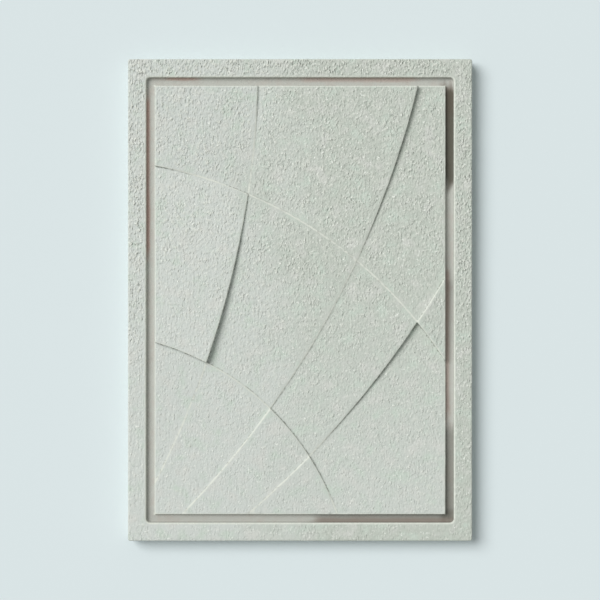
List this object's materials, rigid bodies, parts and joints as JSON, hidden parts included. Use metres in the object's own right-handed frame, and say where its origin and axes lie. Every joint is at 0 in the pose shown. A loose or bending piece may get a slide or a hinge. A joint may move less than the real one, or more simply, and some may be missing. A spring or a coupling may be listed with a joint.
{
  "type": "wall relief panel",
  "caption": "Wall relief panel cast in textured pale plaster: raised border, recessed groove and a field of shallow tilted facets parted by sweeping curved steps.",
  "frame": {"origin": "middle of the flat back, on which the panel lies", "axes": "+X across the picture to the right, +Y up the picture, +Z out of the panel's face"},
  "size_m": [0.5, 0.7, 0.0355],
  "materials": {
    "plaster": "matte"
  },
  "bodies": {
    "root": {"relief_panel": "plaster"}
  },
  "joints": []
}
